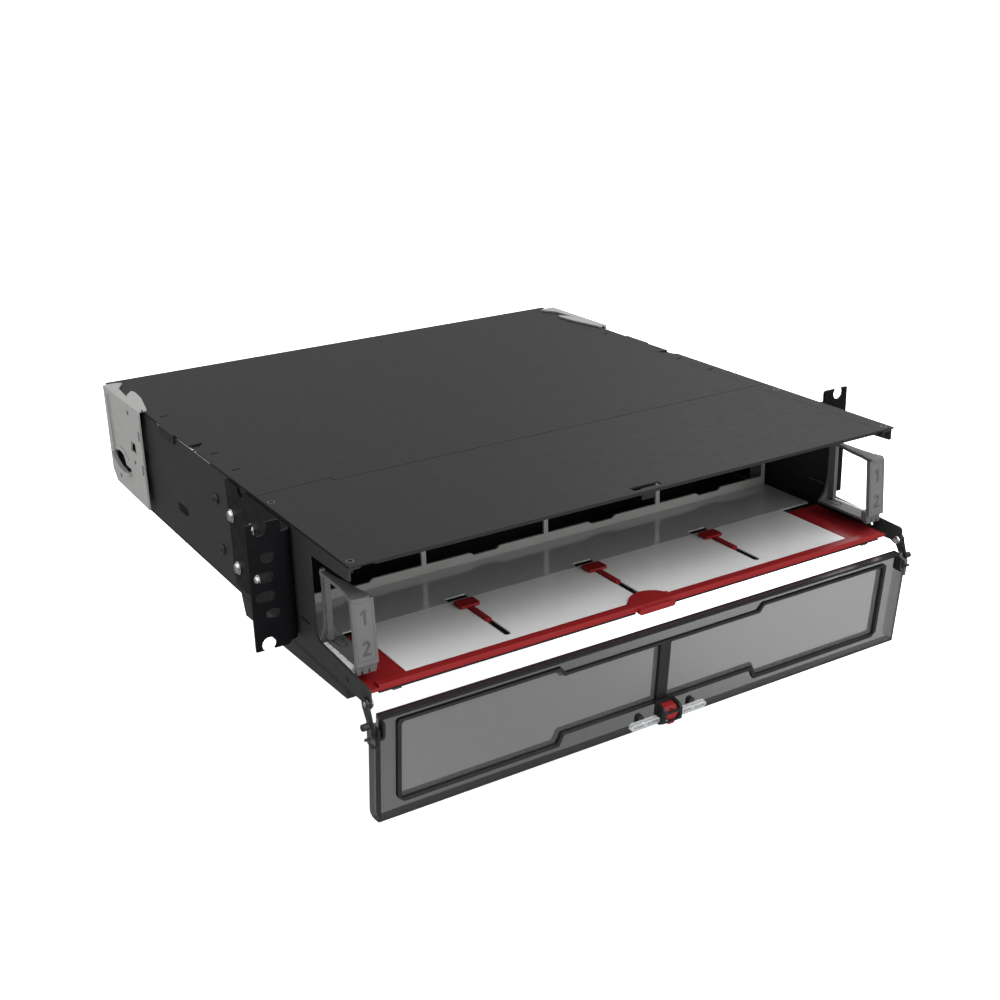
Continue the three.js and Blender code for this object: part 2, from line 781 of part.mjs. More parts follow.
// The hinge strap outside the wall arm, in Y and Z.
function strapOutline() {
  const strap = new THREE.Shape();
  strap.moveTo(-10, -13);
  strap.lineTo(-10, -25);
  strap.lineTo(DOOR_OUTER_Y - 1, -25);
  strap.lineTo(DOOR_OUTER_Y, -10);
  strap.lineTo(3.4, -3.2);
  strap.absarc(0, 0, 4.2, -0.6, Math.PI + 0.1);
  return cut(strap, [roundHole(0, 0, HINGE_HOLE_R)]);
}

// Outline of a window in X and Z, drawn in by the inset. Both long edges step
// toward the middle of the door, where the latch sits.
function windowOutline(side, inset) {
  const points = [
    [4.2 + inset, -62.4 + inset],
    [78.5 + inset, -62.4 + inset],
    [82 + inset, -70 + inset],
    [191.8 - inset, -70 + inset],
    [192.6 - inset, -69.2 + inset],
    [192.6 - inset, -16.2 - inset],
    [191 - inset, -14.6 - inset],
    [82.5 + inset, -14.6 - inset],
    [79 + inset, -19.4 - inset],
    [4.2 + inset, -19.4 - inset],
  ];
  return polygon(points.map(([x, z]) => [side * x, z]));
}

function doorPanel() {
  const bodies = [
    box(-DOOR_BODY_X, DOOR_BODY_X, DOOR_SKIN_Y, DOOR_OUTER_Y, DOOR_FAR_Z, DOOR_NEAR_Z),
    box(-208.6, 208.6, DOOR_RIM_Y, DOOR_OUTER_Y, DOOR_FAR_Z, DOOR_FAR_Z + 1.8),
    box(-DOOR_BODY_X, DOOR_BODY_X, -7.5, DOOR_OUTER_Y, DOOR_NEAR_Z - 1.9, DOOR_NEAR_Z),
  ];
  for (const side of [-1, 1]) {
    const endWall = polygon([
      [side * 208.3, DOOR_RIM_Y],
      [side * (DOOR_WALL_X - 1.7), DOOR_RIM_Y],
      [side * DOOR_WALL_X, DOOR_OUTER_Y],
      [side * 206, DOOR_OUTER_Y],
      [side * 206, DOOR_SKIN_Y],
      [side * 208.3, DOOR_SKIN_Y],
    ]);
    bodies.push(plateXY(endWall, DOOR_FAR_Z, -13));
    bodies.push(plateYZ(strapOutline(), side * STRAP_INNER_X, side * STRAP_OUTER_X, 3));
    bodies.push(box(side * 209, side * 212.4, -9.6, DOOR_OUTER_Y, -24.6, -20));
  }
  // The far edge is rounded where it meets the outer face.
  const below = box(-230, 230, -6.8, 2, -90, -73.3);
  const roundEdge = new THREE.CylinderGeometry(5, 5, 470, 20)
    .rotateZ(Math.PI / 2)
    .translate(0, -6.8, -73.3);
  const trim = toManifold(below).subtract(toManifold(roundEdge));
  const windows = [-1, 1].map((side) => {
    const opening = windowOutline(side, 1.4);
    return plateXZ(opening, DOOR_SKIN_Y - 0.5, DOOR_OUTER_Y + 0.5, 4);
  });
  return fromManifold(toManifold(combine(bodies, windows)).subtract(trim));
}

add('door_panel', doorPanel(), SMOKED, door);

// Thin standing bead that holds the window panes, with its middle divider.
function windowFrame() {
  const half = [
    [76.5, -64.4],
    [80, -72.2],
    [191, -72.2],
    [195.4, -68],
    [195.4, -14.4],
    [193.8, -12.8],
    [81.3, -12.8],
    [77.3, -17.6],
  ];
  const mirrored = half.map(([x, z]) => [-x, z]).reverse();
  return combine(
    [plateXZ(polygon([...half, ...mirrored]), -7.1, -4.1)],
    [-1, 1].map((side) => plateXZ(windowOutline(side, 0), -8, -3)),
  );
}

add('window_frame', windowFrame(), BLACK_PLASTIC, door);

for (const [side, sideName] of [[-1, 'left'], [1, 'right']]) {
  add(`window_pane_${sideName}`, plateXZ(windowOutline(side, GAP), -5, -4.1), PANE, door);

  // Ledge round the recess in each upper corner of the door.
  const ledge = polygon([
    [side * 204.9, -9.1],
    [side * 206.5, -9.1],
    [side * 206.5, -18.9],
    [side * 208, -18.9],
    [side * 208, -20.6],
    [side * 207.2, -20.6],
    [side * 205.6, -19.9],
    [side * 204.9, -18.2],
  ]);
  add(`hinge_block_${sideName}`, plateXZ(ledge, DOOR_RIM_Y, -4.1), BLACK_PLASTIC, door);

  const upperPeg = [[0, 213.3], [2.2, 213.3], [2.2, 217.6], [1.7, 218.2], [0, 218.2]];
  const lowerPeg = [[0, 213.3], [1, 213.3], [1, 216.8], [0.7, 217.2], [0, 217.2]];
  for (const [name, profile, y, z] of [
    ['upper', upperPeg, -6, -11],
    ['lower', lowerPeg, -7.9, -18.5],
  ]) {
    const peg = turnedAlongX(profile, y, z, 12);
    if (side < 0) peg.rotateZ(Math.PI).translate(0, 2 * y, 0);
    add(`door_peg_${name}_${sideName}`, peg, BLACK_PLASTIC, door);
  }
}

// Latch in the middle of the far edge: smoked guide, clear springs, red hook.
function latchHousing() {
  const cheek = new THREE.Shape();
  cheek.moveTo(-9.3, -60);
  cheek.lineTo(-9.3, -75.4);
  cheek.lineTo(-15.4, -75.4);
  cheek.lineTo(-20.6, -71.8);
  cheek.lineTo(-20.6, -64.4);
  cheek.absarc(-17.2, -64.4, 3.4, Math.PI, Math.PI / 2, true);
  return combine([
    plateYZ(cheek, -7.4, -5.6, 4),
    plateYZ(cheek, 5.6, 7.4, 4),
    box(-6, 6, -11, -9.3, -75.4, -60),
    box(-6, 6, -20.6, -19.6, -71.8, -70.4),
    box(-6, 6, -20.6, -19.6, -65.2, -63.4),
  ]);
}

add('latch_housing', latchHousing(), SMOKED, door);

for (const [side, sideName] of [[-1, 'left'], [1, 'right']]) {
  const slots = [[8.4, 18.4], [20.2, 29.4]].map(([near, far]) => {
    const low = Math.min(side * near, side * far);
    return roundedRectangle(low, low + far - near, -71.2, -69, [1, 1, 1, 1]);
  });
  const low = side > 0 ? 7.8 : -30.8;
  const loop = cut(roundedRectangle(low, low + 23, -72.6, -67.6, [2.4, 2.4, 2.4, 2.4]), slots);
  add(`latch_spring_${sideName}`, plateXZ(loop, -16.6, -13.8, 3), CLEAR, door);

  const lug = roundedRectangle(side * 21 - 2.4, side * 21 + 2.4, -72.6, -65, [0, 0, 2, 2]);
  add(`latch_lug_${sideName}`, plateXZ(lug, -13.5, -9.3, 3), BLACK_PLASTIC, door);
}

// The red hook slides in its guide toward the hinge and springs back. Its tooth
// rises behind the tab that is bent down from the slot in the front cover.
function doorLatch() {
  const outline = polygon([
    [-11.3, -62],
    [-11.3, -70],
    [-17.9, -70],
    [-17.9, -74.6],
    [-19.2, -74.6],
    [-19.3, -72],
    [-19.3, -66],
    [-16.4, -62.4],
  ]);
  const notch = polygon([[-2.2, -60], [2.2, -60], [0.4, -67.4], [-0.4, -67.4]]);
  const shoulders = [-1, 1].map((side) => (
    polygon([[side * 6, -78], [side * 6, -66.4], [side * 3, -70], [side * 2.2, -78]])
  ));
  return combine(
    [plateYZ(outline, -5.2, 5.2)],
    [notch, ...shoulders].map((shape) => plateXZ(shape, -24, -17)),
  );
}

add('door_latch', doorLatch(), RED_PLASTIC, door);

export default part;
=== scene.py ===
import json
import math

import bmesh
import bpy
from mathutils import Matrix, Vector


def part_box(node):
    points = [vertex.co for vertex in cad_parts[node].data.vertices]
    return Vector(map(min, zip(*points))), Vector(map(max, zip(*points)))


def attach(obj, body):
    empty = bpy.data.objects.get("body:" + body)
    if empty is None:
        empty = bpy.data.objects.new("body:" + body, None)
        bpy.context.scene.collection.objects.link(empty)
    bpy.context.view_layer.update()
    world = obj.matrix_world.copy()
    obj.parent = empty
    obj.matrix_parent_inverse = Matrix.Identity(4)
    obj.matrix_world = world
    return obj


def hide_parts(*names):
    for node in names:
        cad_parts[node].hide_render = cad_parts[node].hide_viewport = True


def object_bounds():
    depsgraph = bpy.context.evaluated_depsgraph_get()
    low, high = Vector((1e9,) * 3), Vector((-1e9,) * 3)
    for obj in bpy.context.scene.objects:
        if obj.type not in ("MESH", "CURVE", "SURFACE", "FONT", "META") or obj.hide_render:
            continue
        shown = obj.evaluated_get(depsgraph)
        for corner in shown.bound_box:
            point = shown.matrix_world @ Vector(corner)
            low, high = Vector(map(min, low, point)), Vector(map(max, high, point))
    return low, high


MM = 0.001

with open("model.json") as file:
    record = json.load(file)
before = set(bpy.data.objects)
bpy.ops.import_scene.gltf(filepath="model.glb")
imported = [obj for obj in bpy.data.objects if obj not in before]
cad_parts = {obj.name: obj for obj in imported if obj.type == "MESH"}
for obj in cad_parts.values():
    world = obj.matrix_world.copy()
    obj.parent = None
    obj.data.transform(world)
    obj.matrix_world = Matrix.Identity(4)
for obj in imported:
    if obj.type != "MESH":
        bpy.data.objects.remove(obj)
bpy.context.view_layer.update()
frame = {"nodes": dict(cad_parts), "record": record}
nodes = frame["nodes"]
record = frame["record"]
scene = bpy.context.scene


# ---- materials ------------------------------------------------------------

NOISE_LOW, NOISE_HIGH = 0.34, 0.66  # most of a noise texture lies between these
SMEAR_LOW, SMEAR_HIGH = 0.35, 0.65
PEEL_DEPTH = 0.2 * MM
GRAIN_DEPTH = 0.06 * MM
SMEAR_RATIO = 2.3  # roughness varies on a finer scale than colour


def new_material(name):
    material = bpy.data.materials.new(name)
    material.use_nodes = True
    tree = material.node_tree
    return material, tree, tree.nodes["Principled BSDF"]


def noise(tree, coords, scale, detail):
    texture = tree.nodes.new("ShaderNodeTexNoise")
    texture.inputs["Scale"].default_value = scale
    texture.inputs["Detail"].default_value = detail
    tree.links.new(coords, texture.inputs["Vector"])
    return texture.outputs["Fac"]


def remap(tree, value, low, high, start, end):
    """Carries value from start..end to low..high, and holds it at the ends."""
    node = tree.nodes.new("ShaderNodeMapRange")
    node.inputs["From Min"].default_value = start
    node.inputs["From Max"].default_value = end
    node.inputs["To Min"].default_value = low
    node.inputs["To Max"].default_value = high
    tree.links.new(value, node.inputs["Value"])
    return node.outputs["Result"]


def two_tone(tree, value, first, second):
    ramp = tree.nodes.new("ShaderNodeValToRGB")
    ramp.color_ramp.elements[0].position = NOISE_LOW
    ramp.color_ramp.elements[1].position = NOISE_HIGH
    ramp.color_ramp.elements[0].color = (*first, 1)
    ramp.color_ramp.elements[1].color = (*second, 1)
    tree.links.new(value, ramp.inputs["Fac"])
    return ramp.outputs["Color"]


def bump(tree, value, strength, distance, chain=None):
    node = tree.nodes.new("ShaderNodeBump")
    node.inputs["Strength"].default_value = strength
    node.inputs["Distance"].default_value = distance
    tree.links.new(value, node.inputs["Height"])
    if chain:
        tree.links.new(chain, node.inputs["Normal"])
    return node.outputs["Normal"]


def surface(
    name,
    colour,
    roughness,
    metallic=0.0,
    specular=0.5,
    mottle=0.05,
    mottle_scale=60.0,
    grain_scale=1800.0,
    grain=0.25,
    peel_scale=420.0,
    peel=0.1,
    spread=0.05,
    coat=0.0,
    coat_roughness=0.1,
    alpha=1.0,
):
    """Mottled colour, varying roughness, and a bump of orange peel with fine grain on it."""
    material, tree, shader = new_material(name)
    coords = tree.nodes.new("ShaderNodeTexCoord").outputs["Object"]
    blotch = noise(tree, coords, mottle_scale, 4.0)
    low = [c * (1 - mottle) for c in colour]
    high = [min(1.0, c * (1 + mottle)) for c in colour]
    tree.links.new(two_tone(tree, blotch, low, high), shader.inputs["Base Color"])
    smear = noise(tree, coords, mottle_scale * SMEAR_RATIO, 5.0)
    rough = remap(tree, smear, roughness - spread, roughness + spread, SMEAR_LOW, SMEAR_HIGH)
    tree.links.new(rough, shader.inputs["Roughness"])
    normal = bump(tree, noise(tree, coords, peel_scale, 2.0), peel, PEEL_DEPTH)
    fine = noise(tree, coords, grain_scale, 3.0)
    normal = bump(tree, fine, grain, GRAIN_DEPTH, normal)
    tree.links.new(normal, shader.inputs["Normal"])
    shader.inputs["Metallic"].default_value = metallic
    shader.inputs["Specular IOR Level"].default_value = specular
    shader.inputs["Coat Weight"].default_value = coat
    shader.inputs["Coat Roughness"].default_value = coat_roughness
    shader.inputs["Alpha"].default_value = alpha
    return material


DOOR_ALPHA = 0.67
WINDOW_ALPHA = 0.66
SPRING_ALPHA = 0.25

materials = {
    "cover_paint": surface("cover_powder_coat", (0.0155, 0.0158, 0.0155), 0.45, specular=0.06,
                           mottle=0.02, grain_scale=2600, grain=0.14, peel_scale=900, peel=0.02,
                           spread=0.02),
    "chassis_paint": surface("chassis_powder_coat", (0.024, 0.0245, 0.024), 0.45, specular=0.06,
                             mottle=0.02, grain_scale=2600, grain=0.14, peel_scale=900, peel=0.02,
                             spread=0.02),
    "ear_paint": surface("ear_black_paint", (0.0042, 0.0044, 0.0052), 0.4, specular=0.06,
                         mottle=0.1, grain_scale=2600, grain=0.3, peel_scale=900, peel=0.05),
    "bracket_paint": surface("bracket_grey_paint", (0.24, 0.243, 0.236), 0.45, specular=0.2,
                             mottle=0.03, grain_scale=2600, grain=0.2, peel_scale=900, peel=0.05),
    "floor_paint": surface("floor_gloss_grey", (0.4, 0.403, 0.4), 0.16, peel=0.02, grain=0.01,
                           spread=0.03, mottle=0.02, coat=1.0, coat_roughness=0.03),
    "frame_paint": surface("frame_grey_paint", (0.25, 0.253, 0.245), 0.38, specular=0.2,
                           mottle=0.03, grain_scale=2600, grain=0.2, peel=0.04),
    "steel": surface("zinc_plated_steel", (0.74, 0.735, 0.72), 0.24, metallic=1.0, mottle=0.1,
                     mottle_scale=500, peel=0.15, grain=0.15, spread=0.08),
    "black_steel": surface("black_oxide_steel", (0.03, 0.03, 0.032), 0.35, metallic=0.5,
                           mottle=0.2, mottle_scale=400, spread=0.08),
    "grey_plastic": surface("moulded_grey_plastic", (0.088, 0.089, 0.088), 0.38, specular=0.25,
                            mottle=0.025, grain_scale=2400, grain=0.2, peel=0.04),
    "white_plastic": surface("moulded_white_plastic", (0.62, 0.625, 0.62), 0.2, mottle=0.015,
                             peel=0.02, grain=0.03, spread=0.04),
    "red_plastic": surface("moulded_red_plastic", (0.19, 0.0105, 0.012), 0.34, specular=0.2,
                           mottle=0.015, mottle_scale=25, grain_scale=3000, grain=0.02,
                           peel_scale=1200, peel=0.0, spread=0.01),
    "black_plastic": surface("moulded_black_plastic", (0.012, 0.012, 0.013), 0.4, specular=0.3,
                             mottle=0.1, grain_scale=2400, grain=0.35, peel=0.08),
    "smoked_plastic": surface("smoked_door_plastic", (0.0125, 0.0127, 0.013), 0.2, specular=0.22,
                              mottle=0.03, peel=0.02, grain=0.01, spread=0.02,
                              alpha=DOOR_ALPHA),
    "smoked_window": surface("smoked_window_plastic", (0.048, 0.049, 0.05), 0.1, specular=0.3,
                             mottle=0.02, peel=0.0, grain=0.0, spread=0.01,
                             alpha=WINDOW_ALPHA),
    "clear_plastic": surface("clear_spring_plastic", (0.75, 0.77, 0.78), 0.06, mottle=0.02,
                             peel=0.05, grain=0.02, spread=0.02,
                             alpha=SPRING_ALPHA),
}

# ---- thick and thin places of the smoked door shell -------------------------------

joints = {joint["name"]: joint for joint in record["behaviour"]["joints"]}
DOOR_PIVOT = Vector(joints["door_hinge"]["pos_m"])
DOOR_UP = Vector(joints["door_latch_press"]["axis"]).normalized()
DOOR_ALONG = Vector((1, 0, 0))
DOOR_DEEP = DOOR_ALONG.cross(DOOR_UP)

# Places where light passes through more plastic: from and to, in millimetres from the hinge
# along one direction, and the opacity reached there.
TOP_EDGE = (-9.6, -8.8, 0.97)
BOTTOM_EDGE = (-76.9, -77.6, 0.9)
END_WALLS = (207.6, 208.4, 0.78)
LONG_WALLS = (9.7, 10.2, 0.9)


def along(tree, coords, axis):
    """Distance from the middle of the hinge axis along one direction, in millimetres."""
    offset = tree.nodes.new("ShaderNodeVectorMath")
    offset.operation = "SUBTRACT"
    offset.inputs[1].default_value = DOOR_PIVOT
    tree.links.new(coords, offset.inputs[0])
    dot = tree.nodes.new("ShaderNodeVectorMath")
    dot.operation = "DOT_PRODUCT"
    dot.inputs[1].default_value = axis / MM
    tree.links.new(offset.outputs["Vector"], dot.inputs[0])
    return dot.outputs["Value"]


def arith(tree, operation, first, second=None):
    node = tree.nodes.new("ShaderNodeMath")
    node.operation = operation
    for socket, value in zip(node.inputs, (first, second)):
        if isinstance(value, (int, float)):
            socket.default_value = value
        elif value is not None:
            tree.links.new(value, socket)
    return node.outputs["Value"]


def dense_shell(material):
    """Darkens the walls and rims of the door, which are seen edge on, against its panel."""
    tree = material.node_tree
    coords = tree.nodes.new("ShaderNodeTexCoord").outputs["Object"]
    up = along(tree, coords, DOOR_UP)
    deep = arith(tree, "ABSOLUTE", along(tree, coords, DOOR_DEEP))
    side = arith(tree, "ABSOLUTE", along(tree, coords, DOOR_ALONG))
    start, end, level = TOP_EDGE
    alpha = remap(tree, up, DOOR_ALPHA, level, start, end)
    for value, (start, end, level) in ((up, BOTTOM_EDGE), (side, END_WALLS), (deep, LONG_WALLS)):
        dense = remap(tree, value, 0.0, level, start, end)
        alpha = arith(tree, "MAXIMUM", alpha, dense)
    tree.links.new(alpha, tree.nodes["Principled BSDF"].inputs["Alpha"])


dense_shell(materials["smoked_plastic"])

slot_of = {part["node"]: part["material_slot"] for part in record["subparts"]}


# ---- CAD nodes that stay, with softened edges -------------------------------

WELD_DISTANCE = 0.01 * MM
FLAT_ANGLE = math.radians(0.8)
EDGE_ANGLE = math.radians(28)
FACE_WEIGHT = 80


def soften(piece, width, segments=2, angle=EDGE_ANGLE):
    edges = piece.modifiers.new("edges", "BEVEL")
    edges.width = width * MM
    edges.segments = segments
    edges.limit_method = "ANGLE"
    edges.angle_limit = angle


def dress(name, width, segments=2):
    piece = nodes[name]
    for slot in piece.material_slots:
        slot.material = materials[slot_of[name]]
    weld = piece.modifiers.new("weld", "WELD")
    weld.merge_threshold = WELD_DISTANCE
    flat = piece.modifiers.new("flat", "DECIMATE")
    flat.decimate_type = "DISSOLVE"
    flat.angle_limit = FLAT_ANGLE
    soften(piece, width, segments)
    shade = piece.modifiers.new("shade", "WEIGHTED_NORMAL")
    shade.keep_sharp = False
    shade.weight = FACE_WEIGHT


# ---- mesh helpers, in millimetres of the row frame ---------------------------

AXES = {"XY": (0, 1, 2), "XZ": (0, 2, 1)}


def point(plane, u, v, w):
    """A point given in a plane and off it, in metres of the row frame."""
    a, b, c = AXES[plane]
    out = [0.0, 0.0, 0.0]
    out[a], out[b], out[c] = u * MM, v * MM, w * MM
    return out


def add_piece(name, bm, slot, body, bevel=0.0, smooth=True, matrix=None):
    bmesh.ops.remove_doubles(bm, verts=bm.verts, dist=1e-6)
    bmesh.ops.recalc_face_normals(bm, faces=bm.faces)
    mesh = bpy.data.meshes.new(name)
    bm.to_mesh(mesh)
    bm.free()
    if matrix:
        mesh.transform(matrix)
    mesh.materials.append(materials[slot])
    for face in mesh.polygons:
        face.use_smooth = smooth
    piece = bpy.data.objects.new(name, mesh)
    scene.collection.objects.link(piece)
    if bevel:
        soften(piece, bevel)
    piece.modifiers.new("shade", "WEIGHTED_NORMAL").weight = FACE_WEIGHT
    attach(piece, body)
    return piece


def plate(bm, loops, plane, low, high):
    """A flat body of the loops' outline, from low to high across its plane."""
    edges = []
    for loop in loops:
        ring = [bm.verts.new(point(plane, u, v, low)) for u, v in loop]
        for first, second in zip(ring, ring[1:] + ring[:1]):
            edges.append(bm.edges.new((first, second)))
    filled = bmesh.ops.triangle_fill(bm, use_beauty=True, use_dissolve=False, edges=edges)
    faces = [g for g in filled["geom"] if isinstance(g, bmesh.types.BMFace)]
    grown = bmesh.ops.extrude_face_region(bm, geom=faces)
    moved = [g for g in grown["geom"] if isinstance(g, bmesh.types.BMVert)]
    shift = Vector(point(plane, 0, 0, high - low))
    bmesh.ops.translate(bm, verts=moved, vec=shift)


def rounded(u0, u1, v0, v1, radius, steps=6):
    """Outline of a rectangle with round corners."""
    corners = (
        (u0 + radius, v0 + radius, 180),
        (u1 - radius, v0 + radius, 270),
        (u1 - radius, v1 - radius, 0),
        (u0 + radius, v1 - radius, 90),
    )
    out = []
    for u, v, start in corners:
        for k in range(steps + 1):
            angle = math.radians(start + 90 * k / steps)
            out.append((u + radius * math.cos(angle), v + radius * math.sin(angle)))
    return out


def lathe(bm, profile, steps=40):
    """A turned body about local Z, its profile given as (radius, z) in millimetres."""
    rings = []
    for radius, z in profile:
        if radius == 0:
            rings.append([bm.verts.new((0, 0, z * MM))])
            continue
        ring = []
        for k in range(steps):
            angle = 2 * math.pi * k / steps
            ring.append(bm.verts.new((radius * MM * math.cos(angle),
                                      radius * MM * math.sin(angle), z * MM)))
        rings.append(ring)
    for first, second in zip(rings, rings[1:]):
        for k in range(steps):
            j = (k + 1) % steps
            if len(first) == 1 and len(second) == 1:
                continue
            if len(first) == 1:
                bm.faces.new((first[0], second[k], second[j]))
            elif len(second) == 1:
                bm.faces.new((first[k], first[j], second[0]))
            else:
                bm.faces.new((first[k], first[j], second[j], second[k]))


def facing(centre, direction):
    """Places local Z along the direction at a centre given in metres."""
    turn = Vector(direction).to_track_quat("Z", "Y").to_matrix().to_4x4()
    return Matrix.Translation(centre) @ turn


def box_mm(name):
    low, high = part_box(name)
    return [v / MM for v in low], [v / MM for v in high]


# ---- screws ------------------------------------------------------------------

SCREW_EDGE = 0.12
SCREW_EDGE_ANGLE = math.radians(40)
EAR_SHANK = 9
SIDE_SHANK = 7
COVER_SCREW_TURN = 0.4
TURN_STEP = 0.37  # no two screws stop at the same angle
CUTTER_TOP = 3  # the cutter stands well clear of the head
ARM_RATIO = 0.3


def cross_recess(arm, depth):
    bm = bmesh.new()
    half = arm * ARM_RATIO
    outline = [(-half, -arm), (half, -arm), (half, -half), (arm, -half), (arm, half), (half, half),
               (half, arm), (-half, arm), (-half, half), (-arm, half), (-arm, -half),
               (-half, -half)]
    plate(bm, [outline], "XY", -depth, CUTTER_TOP)
    bmesh.ops.recalc_face_normals(bm, faces=bm.faces)
    mesh = bpy.data.meshes.new("recess")
    bm.to_mesh(mesh)
    bm.free()
    return mesh


def screw(node, profile, recess, slot, direction, centre, turn):
    """A turned screw with a cross recess in its head, in place of a CAD node.

    The profile runs up local Z from the tip to the top of the head; recess is the recess's
    half width and depth.
    """
    name = node + "_detail"
    top = profile[-1][1]
    bm = bmesh.new()
    lathe(bm, profile)
    bmesh.ops.recalc_face_normals(bm, faces=bm.faces)
    mesh = bpy.data.meshes.new(name)
    bm.to_mesh(mesh)
    bm.free()
    piece = bpy.data.objects.new(name, mesh)
    scene.collection.objects.link(piece)
    cutter = bpy.data.objects.new("cutter", cross_recess(*recess))
    cutter.location = (0, 0, top * MM)
    cutter.rotation_euler = (0, 0, turn)
    scene.collection.objects.link(cutter)
    cut = piece.modifiers.new("cut", "BOOLEAN")
    cut.object = cutter
    cut.operation = "DIFFERENCE"
    cut.solver = "EXACT"
    bpy.context.view_layer.update()
    graph = bpy.context.evaluated_depsgraph_get()
    made = bpy.data.meshes.new_from_object(piece.evaluated_get(graph))
    piece.modifiers.clear()
    piece.data = made
    bpy.data.objects.remove(cutter)
    made.transform(facing(centre, direction))
    made.materials.clear()
    made.materials.append(materials[slot])
    for face in made.polygons:
        face.use_smooth = True
    soften(piece, SCREW_EDGE, angle=SCREW_EDGE_ANGLE)
    piece.modifiers.new("shade", "WEIGHTED_NORMAL").weight = FACE_WEIGHT
    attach(piece, "chassis")
    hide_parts(node)


def named(start):
    return [name for name in sorted(nodes) if name.startswith(start)]


def side_seat(node, shank):
    """Middle of the face that a side screw's head rests on, and the way the head points."""
    low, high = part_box(node)
    middle = (low + high) / 2
    if "_left_" in node:
        return Vector((high.x - shank * MM, middle.y, middle.z)), (-1, 0, 0)
    return Vector((low.x + shank * MM, middle.y, middle.z)), (1, 0, 0)


def stop_angle(node):
    return sum(map(ord, node)) * TURN_STEP


def ear_screws():
    """Silver pan screws, each on its washer."""
    for node in named("ear_screw"):
        low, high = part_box(node)
        washer = (high.y - low.y) / 2 / MM
        profile = [(0, -8.6), (1.5, -8.6), (1.9, -8), (1.9, 0.05), (washer, 0.05), (washer, 0.55),
                   (washer - 0.25, 0.8), (3.7, 0.85), (3.7, 1.3), (3.5, 1.9), (2.9, 2.5),
                   (2, 2.9), (1, 3.05), (0, 3.1)]
        centre, direction = side_seat(node, EAR_SHANK)
        screw(node, profile, (2.0, 1.4), "steel", direction, centre, stop_angle(node))


def side_screws():
    """Black pan screws in the side walls."""
    for node in named("side_screw"):
        profile = [(0, -6.6), (1.5, -6.6), (1.9, -6), (1.9, 0.05), (3.5, 0.05), (3.5, 0.9),
                   (3.3, 1.5), (2.7, 2.0), (1.6, 2.25), (0, 2.3)]
        centre, direction = side_seat(node, SIDE_SHANK)
        screw(node, profile, (1.8, 1.3), "black_steel", direction, centre, stop_angle(node))


def cover_screws():
    """Countersunk screws, flush with the front cover."""
    for node in named("cover_screw"):
        low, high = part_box(node)
        profile = [(0, -7.2), (1.3, -7.2), (1.5, -6.9), (1.5, -1.7), (2.95, -0.35),
                   (2.95, -0.05), (2.8, 0), (0, 0.02)]
        centre = Vector(((low.x + high.x) / 2, (low.y + high.y) / 2, high.z))
        screw(node, profile, (1.7, 1.22), "black_steel", (0, 0, 1), centre, COVER_SCREW_TURN)


# ---- cable managers -------------------------------------------------------------

# The numerals get a darker grey than the face they stand on: painted shade that picks them out,
# where the real numerals are the face's own grey.
numeral_painted_shade = surface("numeral_grey_plastic_painted_shade", (0.045, 0.0455, 0.045), 0.5, mottle=0.05, grain=0.3)
FACE_RISE = 40.6
FACE_LEAN = 2.4
FACE_FOOT = 42.8  # from the manager's top down to the foot of its face
FACE_INSET = 7  # from the manager's outer edge to the middle of its face
BORDER_HALF_X, BORDER_HALF_Z = 5.9, 18.4
BORDER_WIDTH = 0.45
BORDER_BACK, BORDER_FRONT = -0.1, 0.3
BORDER_RADIUS, BORDER_INNER_RADIUS = 0.9, 0.6
MANAGER_EDGE = 0.6
NUMERAL_HEIGHTS = {"1": 28.8, "2": 9.6}
NUMERAL_HALF = 4.6
NUMERAL_PROUD = 0.04
NUMERAL_DEPTH = 0.1
STROKE = 1.4


def on_face(low, top, centre_x, height, proud):
    """Stands an upright drawing in XZ on the leaning front of a cable manager."""
    lean = math.atan2(FACE_LEAN, FACE_RISE)
    front = low[1] + height / FACE_RISE * FACE_LEAN
    turn = Matrix.Rotation(-lean, 4, "X")
    spot = Vector((centre_x, front - proud, top - FACE_FOOT + height)) * MM
    return Matrix.Translation(spot) @ turn


def outline_one():
    """Outline of a numeral 1: a stem with a flag on its left."""
    right, left = 1.3, 1.3 - STROKE
    return [(0, NUMERAL_HALF), (right, NUMERAL_HALF), (right, -NUMERAL_HALF),
            (left, -NUMERAL_HALF), (left, 2.6), (-2.1, 1.5), (-2.1, 1.5 + STROKE)]


def outline_two(steps=12):
    """Outline of a numeral 2: an arc that runs down into a foot."""
    radius = 2.5
    middle = NUMERAL_HALF - radius
    outer, inner = [], []
    for k in range(steps + 1):
        angle = math.radians(165 - 210 * k / steps)
        for ring, r in ((outer, radius), (inner, radius - STROKE)):
            ring.append((r * math.cos(angle), middle + r * math.sin(angle)))
    foot = [(-0.5, STROKE - NUMERAL_HALF), (2.6, STROKE - NUMERAL_HALF), (2.6, -NUMERAL_HALF),
            (-2.6, -NUMERAL_HALF), (-2.6, -3.5)]
    return outer + foot + inner[::-1]


def numeral(name, outline, matrix):
    bm = bmesh.new()
    plate(bm, [outline], "XZ", -NUMERAL_DEPTH, NUMERAL_DEPTH)
    piece = add_piece(name, bm, "grey_plastic", "chassis", smooth=False, matrix=matrix)
    # The darker numeral grey is painted shade.
    piece.data.materials[0] = numeral_painted_shade


def manager_border(name, matrix):
    """A low raised rim round the face."""
    inner_x, inner_z = BORDER_HALF_X - BORDER_WIDTH, BORDER_HALF_Z - BORDER_WIDTH
    outer = rounded(-BORDER_HALF_X, BORDER_HALF_X, -BORDER_HALF_Z, BORDER_HALF_Z, BORDER_RADIUS)
    inner = rounded(-inner_x, inner_x, -inner_z, inner_z, BORDER_INNER_RADIUS)
    bm = bmesh.new()
    plate(bm, [outer, inner], "XZ", BORDER_BACK, BORDER_FRONT)
    add_piece(name, bm, "grey_plastic", "chassis", matrix=matrix)


